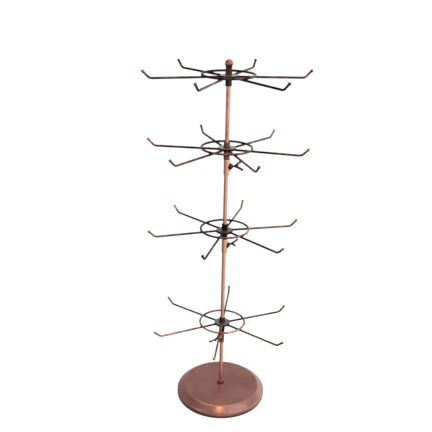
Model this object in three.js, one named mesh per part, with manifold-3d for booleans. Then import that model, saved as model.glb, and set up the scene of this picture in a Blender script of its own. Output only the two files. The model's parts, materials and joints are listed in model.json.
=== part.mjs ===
// Countertop rotating display rack: four spiders of hooked wire arms that spin on a slim pole,
// standing on a round weighted base. Millimetres, +Z up, origin under the pole on the standing face.
import * as THREE from "three";
import { mergeVertices } from "three/addons/utils/BufferGeometryUtils.js";
import Module from "manifold-3d";

const wasm = await Module();
wasm.setup();

// ---- Driving dimensions -------------------------------------------------------------------------

const BASE_RADIUS = 75; // outside of the pressed steel cover
const BASE_HEIGHT = 19; // standing face to the flat of the cover
const BASE_FLAT_RADIUS = 62; // where the flat top turns into the bevel
const SKIRT_TOP = 9; // where the bevel turns into the upright skirt
const SHEET = 1; // thickness of the pressed cover
const COVER_HOLE_RADIUS = 5; // loose hole that the pole passes through

const POLE_RADIUS = 3; // 6 mm rod
const WELD_GAP = 0.25; // room between welded pieces, which the bead fills
const SLIP_GAP = 0.25; // room round a nut or washer that slips over the pole, and round a thread
const RIM_CHAMFER = 0.35;

const ARM_COUNT = 6;
const WIRE_RADIUS = 1.5; // arms and rings are bent from the same wire
const RING_RADIUS = 36.4; // centreline
const BEND_RADIUS = 106.8; // from the pole's axis to where an arm turns up
const TIP_RADIUS = 115.8; // from the pole's axis to the centre of the ball tip
const TIP_RISE = 8.9; // ball tip above the bend
const ARM_DROOP = 1.5; // how much lower an arm is at its bend than at the hub
const BEND_CURVE_RADIUS = 9;
const TIP_BALL_RADIUS = 2.1;

const TUBE_RADIUS = 4.5; // the hub tubes and the collars are cut from the same tube
const TUBE_BORE = 3.8; // radius, loose on the pole
const TUBE_LENGTH = 24;
const TUBE_ABOVE = 10.5; // hub tube above the centreline of the arms
const CAP_TUBE_ABOVE = 12; // the same on the top spider, which closes the pole's end
const DISC_RADIUS = 12.4; // the arms are welded to the rim of this disc
const DISC_THICKNESS = 3.4;
const FINIAL_RADIUS = 5.5;
const FINIAL_SINK = 0.7; // how far the ball is flattened where it meets the tube
const FINIAL_STUB_LENGTH = 6; // plug of the finial inside the top tube
const STUB_GAP = 0.3; // between the plug and the pole's domed end, which it rides on

const COLLAR_LENGTH = 22.5;
const COLLAR_GAP = 0.4; // running gap between a collar and the hub it carries
const COLLAR_SHIFT = 0.6; // the tightened screw draws its collar over to its own side
const SCREW_RADIUS = 1.5; // M3
const SCREW_TIP_GAP = 0.3; // from the face of the pole
const NUT_FLATS = 9.4; // across the flats at the foot of the weld nut on a collar
const NUT_FACE = 9; // from the collar's axis to the weld nut's outer face
const NUT_FACE_RADIUS = 2.9; // the nut tapers to this, with the bead that joins it to the collar
const WING_ROOT = 14.2; // from the pole's axis to where the two ears part
const EAR_LENGTH = 10.7; // from there to the centre of an ear's round end
const EAR_LEAN = 40; // degrees from the screw's axis
const EAR_ROOT_WIDTH = 3.9;
const EAR_END_WIDTH = 3.1;
const EAR_THICKNESS = 2.4;

// Arm heights above the standing face, and the turn of each spider about the pole, in degrees.
// discAbove is the disc's upper face above the centreline of the arms, which varies from weld to
// weld; screwTurn points a collar's wing screw; wingTwist turns its wings about its own axis, from
// upright.
const CAP_TIER = { name: "top", height: 529, turn: 10, discAbove: 2.2 };
const SLIDING_TIERS = [
  { name: "upper", height: 429.5, turn: -9, discAbove: 3.2, screwTurn: 17, wingTwist: -60 },
  { name: "middle", height: 305, turn: 15.5, discAbove: 1, screwTurn: 35, wingTwist: 20 },
  { name: "lower", height: 140.5, turn: 24.5, discAbove: 2.4, screwTurn: 230, wingTwist: 115 },
];

// ---- Materials ----------------------------------------------------------------------------------

const metal = (color, roughness, metalness) =>
  new THREE.MeshStandardMaterial({ color, roughness, metalness });
const copper = metal(0xb9745a, 0.35, 0.9);
const darkBronze = metal(0x41302f, 0.45, 0.8);
const baseCoat = metal(0x8c5f58, 0.4, 0.6);
const castIron = metal(0x3b3b3d, 0.8, 0.6);
const zinc = metal(0x9b9da0, 0.4, 0.9);
const foam = metal(0x1d1c1c, 0.95, 0);

// ---- Shape helpers ------------------------------------------------------------------------------

const TAU = 2 * Math.PI;
const radians = THREE.MathUtils.degToRad;

function meshOf(name, geometry, material) {
  const mesh = new THREE.Mesh(geometry, material);
  mesh.name = name;
  return mesh;
}

// Turns a profile of [radius, height] points, counter-clockwise in that plane, round the Z axis.
function turned(profile, segments) {
  const points = profile.map(([r, z]) => new THREE.Vector2(r, z));
  return new THREE.LatheGeometry(points, segments).rotateX(Math.PI / 2);
}

// A round tube or ring standing on the Z axis, with its outer rims broken by small chamfers.
function tube(inner, outer, bottom, top, segments) {
  return turned(
    [
      [inner, bottom],
      [outer - RIM_CHAMFER, bottom],
      [outer, bottom + RIM_CHAMFER],
      [outer, top - RIM_CHAMFER],
      [outer - RIM_CHAMFER, top],
      [inner, top],
      [inner, bottom],
    ],
    segments,
  );
}

// Points of an arc about a centre in the profile plane, from one angle to another, in radians.
function arc(centreR, centreZ, radius, from, to, steps) {
  return Array.from({ length: steps + 1 }, (_, i) => {
    const a = from + ((to - from) * i) / steps;
    return [centreR + radius * Math.cos(a), centreZ + radius * Math.sin(a)];
  });
}

// The same, up to the very top of the arc, where it meets the axis.
function domeArc(centreZ, radius, from, steps) {
  const points = arc(0, centreZ, radius, from, Math.PI / 2, steps);
  points[steps] = [0, centreZ + radius];
  return points;
}

function solidOf(geometry) {
  const bare = geometry.clone();
  bare.deleteAttribute("normal");
  bare.deleteAttribute("uv");
  const merged = mergeVertices(bare, 1e-4);
  return new wasm.Manifold(
    new wasm.Mesh({
      numProp: 3,
      vertProperties: new Float32Array(merged.attributes.position.array),
      triVerts: new Uint32Array(merged.index.array),
    }),
  );
}

function geometryOf(solid) {
  const { vertProperties, triVerts } = solid.getMesh();
  const geometry = new THREE.BufferGeometry();
  geometry.setAttribute("position", new THREE.BufferAttribute(vertProperties, 3));
  geometry.setIndex(new THREE.BufferAttribute(triVerts, 1));
  geometry.computeVertexNormals();
  return geometry;
}

// A solid rod lying along +X between two distances from the pole's axis.
function rod(radiusNear, radiusFar, near, far, sides) {
  return solidOf(
    new THREE.CylinderGeometry(radiusFar, radiusNear, far - near, sides)
      .rotateZ(-Math.PI / 2)
      .translate((near + far) / 2, 0, 0),
  );
}

// A path that an extrusion follows station by station, with no points in between.
class StationPath extends THREE.Curve {
  constructor(stations) {
    super();
    this.stations = stations;
    this.last = stations.length - 1;
  }
  getPointAt(t) {
    return this.stations[Math.round(t * this.last)].clone();
  }
  getTangentAt(t) {
    const i = Math.round(t * this.last);
    const before = this.stations[Math.max(i - 1, 0)];
    const after = this.stations[Math.min(i + 1, this.last)];
    return after.clone().sub(before).normalize();
  }
  getSpacedPoints(divisions) {
    return Array.from({ length: divisions + 1 }, (_, i) => this.getPointAt(i / divisions));
  }
}

function bentWire(stations, radius, sides) {
  const section = new THREE.Shape(
    Array.from({ length: sides }, (_, i) => {
      const a = (TAU * (i + 0.5)) / sides;
      return new THREE.Vector2(radius * Math.cos(a), radius * Math.sin(a));
    }),
  );
  return new THREE.ExtrudeGeometry(section, {
    steps: stations.length - 1,
    extrudePath: new StationPath(stations),
    bevelEnabled: false,
  });
}

// ---- Base and pole ------------------------------------------------------------------------------

const BASE_FACETS = 48;
const HEM_WIDTH = 5; // lip of the cover, rolled in under the weight
const HEM_BOTTOM = 1.1;
const PAD_THICKNESS = 2;
const PAD_RADIUS = 69;
const PAD_HOLE_RADIUS = 13; // room for a socket on the nut under the pole
const WEIGHT_BOTTOM = HEM_BOTTOM + SHEET + WELD_GAP;
const WEIGHT_THICKNESS = 9;
const WEIGHT_TOP = WEIGHT_BOTTOM + WEIGHT_THICKNESS;
const WEIGHT_SIDE_GAP = 0.8; // to the inside of the cover
const WEIGHT_SHOULDER = 4.5; // bevel on the weight's upper rim
const POCKET_RADIUS = 9; // pocket for the washer and nut under the weight
const POCKET_DEPTH = 5.5;
const POCKET_TOP = WEIGHT_BOTTOM + POCKET_DEPTH;
const POLE_BOTTOM = 2.8;
const POLE_END_CHAMFER = 0.6;
const POLE_TOP = CAP_TIER.height + CAP_TUBE_ABOVE - FINIAL_STUB_LENGTH - STUB_GAP;
const CLAMP_NUT_FLATS = 10; // M6
const UPPER_NUT_THICKNESS = 5;
const LOWER_NUT_THICKNESS = 3.2;
const WASHER_RADIUS = 7.5;
const WASHER_THICKNESS = 1.2;

// The cover's outline moved inwards by inset, from the pole's hole out and down to the hem.
function coverLine(inset) {
  const crown = 6; // radius of the turn from flat to bevel
  const edge = 4; // radius of the turn from bevel to skirt
  const edgeCentre = SKIRT_TOP - 1;
  const drop = Math.atan2(BASE_HEIGHT - SKIRT_TOP, BASE_RADIUS - BASE_FLAT_RADIUS);
  const bevelNormal = Math.PI / 2 - drop;
  return [
    [COVER_HOLE_RADIUS, BASE_HEIGHT - inset],
    ...arc(BASE_FLAT_RADIUS, BASE_HEIGHT - crown, crown - inset, Math.PI / 2, bevelNormal, 3),
    ...arc(BASE_RADIUS - edge, edgeCentre, edge - inset, bevelNormal, 0, 4),
    [BASE_RADIUS - inset, HEM_BOTTOM + inset],
    [BASE_RADIUS - HEM_WIDTH, HEM_BOTTOM + inset],
  ];
}

function baseCover() {
  const outside = coverLine(0);
  const inside = coverLine(SHEET);
  return turned([...inside, ...outside.reverse(), inside[0]], BASE_FACETS);
}

function baseWeight() {
  const outer = BASE_RADIUS - SHEET - WEIGHT_SIDE_GAP;
  const bore = POLE_RADIUS + SLIP_GAP;
  return turned(
    [
      [POCKET_RADIUS, WEIGHT_BOTTOM],
      [outer, WEIGHT_BOTTOM],
      [outer, WEIGHT_TOP - WEIGHT_SHOULDER],
      [outer - WEIGHT_SHOULDER, WEIGHT_TOP],
      [bore, WEIGHT_TOP],
      [bore, POCKET_TOP],
      [POCKET_RADIUS, POCKET_TOP],
      [POCKET_RADIUS, WEIGHT_BOTTOM],
    ],
    BASE_FACETS,
  );
}

function pole() {
  return turned(
    [
      [0, POLE_BOTTOM],
      [POLE_RADIUS - POLE_END_CHAMFER, POLE_BOTTOM],
      [POLE_RADIUS, POLE_BOTTOM + POLE_END_CHAMFER],
      ...domeArc(POLE_TOP - POLE_RADIUS, POLE_RADIUS, 0, 4),
    ],
    20,
  );
}

// A plain hexagon nut with its lower face at the given height, bored to slip over the pole.
function clampNut(bottom, thickness) {
  const corner = CLAMP_NUT_FLATS / Math.sqrt(3);
  const bore = POLE_RADIUS + SLIP_GAP;
  const blank = new THREE.CylinderGeometry(corner, corner, thickness, 6);
  const drill = new THREE.CylinderGeometry(bore, bore, 2 * thickness, 20);
  return geometryOf(solidOf(blank).subtract(solidOf(drill)))
    .rotateX(Math.PI / 2)
    .translate(0, 0, bottom + thickness / 2);
}

function base() {
  const group = new THREE.Group();
  const washerTop = POCKET_TOP - SLIP_GAP;
  const washerBottom = washerTop - WASHER_THICKNESS;
  const lowerNutBottom = washerBottom - SLIP_GAP - LOWER_NUT_THICKNESS;
  const pad = tube(PAD_HOLE_RADIUS, PAD_RADIUS, 0, PAD_THICKNESS, BASE_FACETS);
  const washer = tube(POLE_RADIUS + SLIP_GAP, WASHER_RADIUS, washerBottom, washerTop, 24);
  const upperNut = clampNut(WEIGHT_TOP + SLIP_GAP, UPPER_NUT_THICKNESS);
  group.add(
    meshOf("base_cover", baseCover(), baseCoat),
    meshOf("base_weight", baseWeight(), castIron),
    meshOf("base_pad", pad, foam),
    meshOf("pole", pole(), copper),
    meshOf("pole_upper_nut", upperNut, zinc),
    meshOf("pole_washer", washer, zinc),
    meshOf("pole_lower_nut", clampNut(lowerNutBottom, LOWER_NUT_THICKNESS), zinc),
  );
  return group;
}

// ---- Spiders: hub tube, disc, ring and hooked arms ----------------------------------------------

const WIRE_SIDES = 8;
const BEND_STEPS = 3;
const RING_FACETS = 36;

// Stations of an arm's centreline in its own upright plane, x outwards: a straight run from the
// disc's rim that droops to the bend, a round bend, and a straight hook up to the ball tip.
function armStations() {
  const start = new THREE.Vector3(DISC_RADIUS + WELD_GAP, 0, 0);
  const corner = new THREE.Vector3(BEND_RADIUS, 0, -ARM_DROOP);
  const tip = new THREE.Vector3(TIP_RADIUS, 0, TIP_RISE - ARM_DROOP);
  const along = corner.clone().sub(start).normalize();
  const turn = along.angleTo(tip.clone().sub(corner));
  const inwards = new THREE.Vector3(-along.z, 0, along.x); // from the wire to the bend's centre
  const setback = BEND_CURVE_RADIUS * Math.tan(turn / 2);
  const bendStart = corner.clone().addScaledVector(along, -setback);
  const bend = Array.from({ length: BEND_STEPS + 1 }, (_, i) => {
    const a = (turn * i) / BEND_STEPS;
    return bendStart
      .clone()
      .addScaledVector(along, BEND_CURVE_RADIUS * Math.sin(a))
      .addScaledVector(inwards, BEND_CURVE_RADIUS * (1 - Math.cos(a)));
  });
  return [start, ...bend, tip];
}

// One arm, pointing along +X: bent wire with a ball formed on its tip.
function arm() {
  const stations = armStations();
  const tip = stations[stations.length - 1];
  const ball = new THREE.SphereGeometry(TIP_BALL_RADIUS, 8, 6).translate(tip.x, tip.y, tip.z);
  return geometryOf(solidOf(bentWire(stations, WIRE_RADIUS, WIRE_SIDES)).add(solidOf(ball)));
}

// The ring lies on top of the arms, where they have drooped by their share at its radius.
function ring() {
  const height = 2 * WIRE_RADIUS + WELD_GAP - (ARM_DROOP * RING_RADIUS) / BEND_RADIUS;
  return new THREE.TorusGeometry(RING_RADIUS, WIRE_RADIUS, WIRE_SIDES, RING_FACETS).translate(
    0,
    0,
    height,
  );
}

function spider(tier, tubeTop) {
  const group = new THREE.Group();
  const { name, discAbove } = tier;
  const discBottom = discAbove - DISC_THICKNESS;
  const hubTube = tube(TUBE_BORE, TUBE_RADIUS, tubeTop - TUBE_LENGTH, tubeTop, 20);
  const disc = tube(TUBE_RADIUS + WELD_GAP, DISC_RADIUS, discBottom, discAbove, 24);
  group.add(
    meshOf(`${name}_hub_tube`, hubTube, darkBronze),
    meshOf(`${name}_hub_disc`, disc, darkBronze),
    meshOf(`${name}_ring`, ring(), copper),
  );
  for (let i = 0; i < ARM_COUNT; i++) {
    const mesh = meshOf(`${name}_arm_${i + 1}`, arm(), copper);
    mesh.rotation.z = (TAU * i) / ARM_COUNT;
    group.add(mesh);
  }
  group.rotation.z = radians(tier.turn);
  group.position.z = tier.height;
  return group;
}

// Ball on top of the top tube, with a stub inside the tube that rides on the pole's domed end.
function finial() {
  const seat = CAP_TUBE_ABOVE + WELD_GAP;
  const stub = TUBE_BORE - WELD_GAP;
  const neck = TUBE_RADIUS - RIM_CHAMFER;
  const centre = seat + FINIAL_RADIUS - FINIAL_SINK;
  return turned(
    [
      [0, CAP_TUBE_ABOVE - FINIAL_STUB_LENGTH],
      [stub, CAP_TUBE_ABOVE - FINIAL_STUB_LENGTH],
      [stub, seat],
      [neck, seat],
      ...domeArc(centre, FINIAL_RADIUS, -Math.acos(neck / FINIAL_RADIUS), 7),
    ],
    24,
  );
}

// ---- Collars with their weld nuts and wing screws -----------------------------------------------

// Collar centred on the screw's axis, with the hole that the screw passes through.
function collar() {
  const half = COLLAR_LENGTH / 2;
  const hole = SCREW_RADIUS + SLIP_GAP;
  const body = solidOf(tube(TUBE_BORE, TUBE_RADIUS, -half, half, 20));
  return geometryOf(body.subtract(rod(hole, hole, 0, 2 * TUBE_RADIUS, 12)));
}

// Weld nut, saddled onto the round of the collar and tapering towards its outer face.
function collarNut() {
  const corner = NUT_FLATS / Math.sqrt(3);
  const hole = SCREW_RADIUS + SLIP_GAP;
  const saddleRadius = TUBE_RADIUS + WELD_GAP;
  const slope = (corner - NUT_FACE_RADIUS) / (NUT_FACE - TUBE_RADIUS);
  const taperStart = corner + slope * (TUBE_RADIUS - POLE_RADIUS);
  const saddle = new THREE.CylinderGeometry(saddleRadius, saddleRadius, 4 * corner, 24);
  return geometryOf(
    rod(taperStart, NUT_FACE_RADIUS, POLE_RADIUS, NUT_FACE, 24)
      .intersect(rod(corner, corner, 0, 2 * NUT_FACE, 6))
      .subtract(rod(hole, hole, 0, 2 * NUT_FACE, 12))
      .subtract(solidOf(saddle.rotateX(Math.PI / 2))),
  );
}

// One ear of the wing screw in the XZ plane: a flat tapered bar with round ends, leaning up or down.
function ear(side) {
  const bar = new THREE.Shape()
    .absarc(0, 0, EAR_ROOT_WIDTH / 2, Math.PI / 2, (3 * Math.PI) / 2, false)
    .absarc(EAR_LENGTH, 0, EAR_END_WIDTH / 2, -Math.PI / 2, Math.PI / 2, false);
  const plate = new THREE.ExtrudeGeometry(bar, {
    depth: EAR_THICKNESS,
    bevelEnabled: false,
    curveSegments: 6,
  });
  return solidOf(
    plate
      .translate(0, 0, -EAR_THICKNESS / 2)
      .rotateX(Math.PI / 2)
      .rotateY(-side * radians(EAR_LEAN))
      .translate(WING_ROOT, 0, 0),
  );
}

// Threaded shank, a short cone where it swells into the head, and the two ears.
function wingScrew() {
  const tip = POLE_RADIUS + SCREW_TIP_GAP;
  const coneStart = WING_ROOT - 1.8;
  const coneRadius = 1.95;
  return geometryOf(
    rod(SCREW_RADIUS, SCREW_RADIUS, tip, WING_ROOT, 16)
      .add(rod(SCREW_RADIUS, coneRadius, coneStart, WING_ROOT, 16))
      .add(ear(1))
      .add(ear(-1)),
  );
}

function clamp(tier) {
  const group = new THREE.Group();
  const screw = meshOf(`${tier.name}_wing_screw`, wingScrew(), copper);
  screw.rotation.x = radians(tier.wingTwist);
  const sleeve = meshOf(`${tier.name}_collar`, collar(), copper);
  const nut = meshOf(`${tier.name}_collar_nut`, collarNut(), copper);
  sleeve.position.x = COLLAR_SHIFT;
  nut.position.x = COLLAR_SHIFT;
  group.add(sleeve, nut, screw);
  group.position.z = tier.height + TUBE_ABOVE - TUBE_LENGTH - COLLAR_GAP - COLLAR_LENGTH / 2;
  group.rotation.z = radians(tier.screwTurn);
  return group;
}

// ---- The rack -----------------------------------------------------------------------------------

const rack = new THREE.Group();
const ball = meshOf("ball_finial", finial(), copper);
ball.position.z = CAP_TIER.height;
rack.add(base(), spider(CAP_TIER, CAP_TUBE_ABOVE), ball);
for (const tier of SLIDING_TIERS) {
  rack.add(spider(tier, TUBE_ABOVE), clamp(tier));
}

export default rack;
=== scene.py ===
"""Looks of a countertop rotating display rack: four spiders of hooked wire arms on a slim pole with a
weighted base, in antique copper. Metres, +Z up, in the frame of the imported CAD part."""
import json
import math

import bmesh
import bpy
import numpy as np
from mathutils import Matrix, Vector, noise


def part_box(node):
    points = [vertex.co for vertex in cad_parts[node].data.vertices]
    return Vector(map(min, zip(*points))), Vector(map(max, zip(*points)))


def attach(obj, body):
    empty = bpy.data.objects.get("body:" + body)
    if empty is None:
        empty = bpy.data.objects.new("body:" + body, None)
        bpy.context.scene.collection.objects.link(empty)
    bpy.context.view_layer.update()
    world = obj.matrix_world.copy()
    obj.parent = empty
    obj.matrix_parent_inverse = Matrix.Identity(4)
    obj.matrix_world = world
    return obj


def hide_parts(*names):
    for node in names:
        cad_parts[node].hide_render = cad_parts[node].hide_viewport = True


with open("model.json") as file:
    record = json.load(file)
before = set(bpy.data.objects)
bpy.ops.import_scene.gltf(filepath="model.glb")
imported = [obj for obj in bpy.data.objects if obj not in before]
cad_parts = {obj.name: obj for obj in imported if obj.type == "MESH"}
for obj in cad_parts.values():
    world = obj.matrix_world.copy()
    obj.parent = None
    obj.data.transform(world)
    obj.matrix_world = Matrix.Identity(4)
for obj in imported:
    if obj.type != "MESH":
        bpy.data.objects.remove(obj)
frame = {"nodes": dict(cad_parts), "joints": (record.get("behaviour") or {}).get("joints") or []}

MM = 0.001
TAU = 2 * math.pi
QUARTER = math.pi / 2
TIERS = ("top", "upper", "middle", "lower")
CLAMPED_TIERS = ("upper", "middle", "lower")
ARMS = range(1, 7)
SAME = 0.02 * MM  # CAD heights and radii closer than this are the same one

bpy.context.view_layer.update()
joints = {j["name"]: j for j in frame["joints"]}

# ---- Measuring the CAD frame ----


def points_of(node):
    """Unique vertices of a CAD node, in metres."""
    co = np.array([v.co for v in frame["nodes"][node].data.vertices], float)
    return np.unique(np.round(co, 6), axis=0)


def azimuth_of(node):
    """Direction from the pole to the middle of a CAD node."""
    centre = points_of(node).mean(0)
    return math.atan2(centre[1], centre[0])


def radial_span(node):
    """Smallest and largest distance of a CAD node from the pole's axis."""
    r = np.hypot(*points_of(node)[:, :2].T)
    return r.min(), r.max()


def outline_of(node):
    """The different (radius, height) pairs of a turned CAD node's vertices."""
    return sorted({(round(math.hypot(x, y), 5), round(z, 5)) for x, y, z in points_of(node)})


# ---- Mesh helpers ----


def mesh_object(name, verts, faces, smooth=True):
    mesh = bpy.data.meshes.new(name)
    mesh.from_pydata([tuple(v) for v in verts], [], faces)
    mesh.validate()
    obj = bpy.data.objects.new(name, mesh)
    bpy.context.scene.collection.objects.link(obj)
    bm = bmesh.new()
    bm.from_mesh(mesh)
    bmesh.ops.remove_doubles(bm, verts=bm.verts, dist=1e-6)
    bmesh.ops.recalc_face_normals(bm, faces=bm.faces)
    bm.to_mesh(mesh)
    bm.free()
    if smooth:
        mesh.shade_smooth()
    return obj


def skin(rows, sides, closed=False, base=0):
    """Quads between neighbouring rows of vertices. Closed joins the last row to the first."""
    faces = []
    for i in range(rows if closed else rows - 1):
        one, two = base + i * sides, base + (i + 1) % rows * sides
        for k in range(sides):
            m = (k + 1) % sides
            faces.append([one + k, one + m, two + m, two + k])
    return faces


def caps(rows, sides):
    """The two end faces of an open skin."""
    return [list(range(sides))[::-1], [(rows - 1) * sides + k for k in range(sides)]]


def arc(centre, radius, begin, end, steps):
    """Points of a round stretch of an outline, both ends included."""
    angles = [begin + (end - begin) * k / steps for k in range(steps + 1)]
    return [(centre[0] + radius * math.cos(a), centre[1] + radius * math.sin(a)) for a in angles]


def tube_corners(inner, outer, low, high, bore_edge=True):
    """Corners of a plain tube's section, for rounded()."""
    return [(inner, low, bore_edge), (outer, low, True), (outer, high, True), (inner, high, bore_edge)]


def rounded(corners, radius, steps=4):
    """A closed outline from (r, z, softness) corners, with the soft ones turned into small curves.

    Softness True takes the whole radius, a number takes that share of it, and False keeps the corner."""
    out = []
    for i, (r, z, soft) in enumerate(corners):
        here = Vector((r, z))
        if not soft:
            out.append(here)
            continue
        before = Vector(corners[i - 1][:2]) - here
        after = Vector(corners[(i + 1) % len(corners)][:2]) - here
        reach = radius * soft
        a = here + before.normalized() * min(reach, before.length * 0.49)
        b = here + after.normalized() * min(reach, after.length * 0.49)
        for k in range(steps + 1):
            t = k / steps
            out.append(a * (1 - t) ** 2 + here * (2 * t * (1 - t)) + b * t * t)
    return [(p.x, p.y) for p in out]


def filled(outline, step):
    """The same closed outline with points added along its long straight runs."""
    out = []
    for i, (r, z) in enumerate(outline):
        r2, z2 = outline[(i + 1) % len(outline)]
        count = max(1, round(math.hypot(r2 - r, z2 - z) / step))
        out += [(r + (r2 - r) * k / count, z + (z2 - z) * k / count) for k in range(count)]
    return out


def lathe(name, outline, segments, closed=True, centre=(0.0, 0.0)):
    """Turns (r, z) points round a vertical axis. Points on the axis become single vertices."""
    verts, faces, rows = [], [], []
    for r, z in outline:
        if r < 1e-7:
            rows.append([len(verts)] * segments)
            verts.append((centre[0], centre[1], z))
            continue
        rows.append(list(range(len(verts), len(verts) + segments)))
        for k in range(segments):
            a = TAU * k / segments
            verts.append((centre[0] + r * math.cos(a), centre[1] + r * math.sin(a), z))
    pairs = list(zip(rows, rows[1:])) + ([(rows[-1], rows[0])] if closed else [])
    for one, two in pairs:
        for k in range(segments):
            m = (k + 1) % segments
            quad = [one[k], one[m], two[m], two[k]]
            face = [v for i, v in enumerate(quad) if v != quad[i - 1]]
            if len(set(face)) >= 3:
                faces.append(face)
    return mesh_object(name, verts, faces)


def crisp(obj, angle):
    """Sharp edges where faces turn by more than the angle in degrees, smooth elsewhere."""
    bm = bmesh.new()
    bm.from_mesh(obj.data)
    limit = math.radians(angle)
    for e in bm.edges:
        e.smooth = not (len(e.link_faces) == 2 and e.calc_face_angle(0) > limit)
    for f in bm.faces:
        f.smooth = True
    bm.to_mesh(obj.data)
    bm.free()
    return obj


def sweep(centres, radii, sides):
    """Closed rod of round sections round a path in the XZ plane. Returns verts and faces."""
    side_axis = Vector((0, 1, 0))
    verts = []
    n = len(centres)
    for i, c in enumerate(centres):
        along = (centres[min(i + 1, n - 1)] - centres[max(i - 1, 0)]).normalized()
        up = side_axis.cross(along).normalized()
        for k in range(sides):
            a = TAU * k / sides
            verts.append(c + (side_axis * math.cos(a) + up * math.sin(a)) * radii[i])
    return verts, skin(n, sides) + caps(n, sides)


def add_attribute(obj, name, values):
    layer = obj.data.attributes.new(name, "FLOAT", "POINT")
    layer.data.foreach_set("value", np.asarray(values, np.float32))


def baked(obj):
    """Applies obj's modifiers to its mesh."""
    bpy.context.view_layer.update()
    shape = bpy.data.meshes.new_from_object(obj.evaluated_get(bpy.context.evaluated_depsgraph_get()))
    obj.modifiers.clear()
    obj.data = shape
    return obj


def remeshed(obj, voxel, relax):
    """Fuses obj's overlapping shells into one skin and relaxes it."""
    remesh = obj.modifiers.new("fuse", "REMESH")
    remesh.mode = "VOXEL"
    remesh.voxel_size = voxel
    remesh.use_smooth_shade = True
    smooth = obj.modifiers.new("relax", "SMOOTH")
    smooth.factor = 0.5
    smooth.iterations = relax
    return baked(obj)


def carved(obj, cutter):
    """Takes the cutter's volume out of obj and removes the cutter."""
    cut = obj.modifiers.new("carve", "BOOLEAN")
    cut.operation = "DIFFERENCE"
    cut.solver = "EXACT"
    cut.object = cutter
    baked(obj)
    bpy.data.objects.remove(cutter)


def joined(name, parts):
    """One mesh from several (verts, faces) parts."""
    verts, faces = [], []
    for v, f in parts:
        base = len(verts)
        verts += [Vector(p) for p in v]
        faces += [[base + i for i in face] for face in f]
    return mesh_object(name, verts, faces)


def placed(part, matrix):
    verts, faces = part
    return [matrix @ Vector(p) for p in verts], faces


def ellipsoid(centre, radii, rings=8, sides=14):
    verts, faces = [], []
    for i in range(rings + 1):
        t = math.pi * i / rings
        for k in range(sides):
            a = TAU * k / sides
            unit = (math.sin(t) * math.cos(a), math.sin(t) * math.sin(a), math.cos(t))
            verts.append(Vector(centre) + Vector([r * u for r, u in zip(radii, unit)]))
    for i in range(rings):
        for k in range(sides):
            m = (k + 1) % sides
            faces.append([i * sides + k, (i + 1) * sides + k, (i + 1) * sides + m, i * sides + m])
    return verts, faces


def cone(radius_a, radius_b, a, b, sides=24):
    """Closed round rod along +X from a to b."""
    verts = []
    for x, r in ((a, radius_a), (b, radius_b)):
        for k in range(sides):
            t = TAU * k / sides
            verts.append(Vector((x, r * math.cos(t), r * math.sin(t))))
    return verts, skin(2, sides) + caps(2, sides)


def hexagon_radius(flat, angle):
    """Distance from the middle of a hexagon to its edge at an angle measured from a corner."""
    return flat / math.cos(angle % (TAU / 6) - TAU / 12)


def wrapped(angle):
    """The same angle between minus and plus half a turn."""
    return (angle + math.pi) % TAU - math.pi


def wobble(p, size_mm, seed):
    """Smooth random value between -1 and 1 that changes over the given size."""
    return noise.noise(Vector(p) / (size_mm * MM) + Vector((seed, seed * 1.7, -seed)))


# ---- Materials ----


def srgb(*channels):
    """Linear colour with alpha from three sRGB channels of 0 to 255."""
    shares = [c / 255 for c in channels]
    return (*(s / 12.92 if s <= 0.04045 else ((s + 0.055) / 1.055) ** 2.4 for s in shares), 1)


class Nodes:
    """Small helper that makes and links the nodes of one tree."""

    def __init__(self, owner):
        owner.use_nodes = True
        self.tree = owner.node_tree
        self.tree.nodes.clear()

    def node(self, kind, **values):
        n = self.tree.nodes.new(kind)
        for k, v in values.items():
            setattr(n, k, v)
        return n

    def link(self, a, b):
        self.tree.links.new(a, b)

    def put(self, socket, value):
        if isinstance(value, bpy.types.NodeSocket):
            self.link(value, socket)
        else:
            socket.default_value = value

    def math(self, kind, a, b=0.0, c=None):
        n = self.node("ShaderNodeMath", operation=kind)
        self.put(n.inputs[0], a)
        self.put(n.inputs[1], b)
        if c is not None:
            self.put(n.inputs[2], c)
        return n.outputs[0]

    def ramp(self, value, low, high, to_low=0.0, to_high=1.0):
        n = self.node("ShaderNodeMapRange", interpolation_type="SMOOTHSTEP")
        for socket, v in zip(n.inputs[:5], (value, low, high, to_low, to_high)):
            self.put(socket, v)
        return n.outputs[0]


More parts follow.
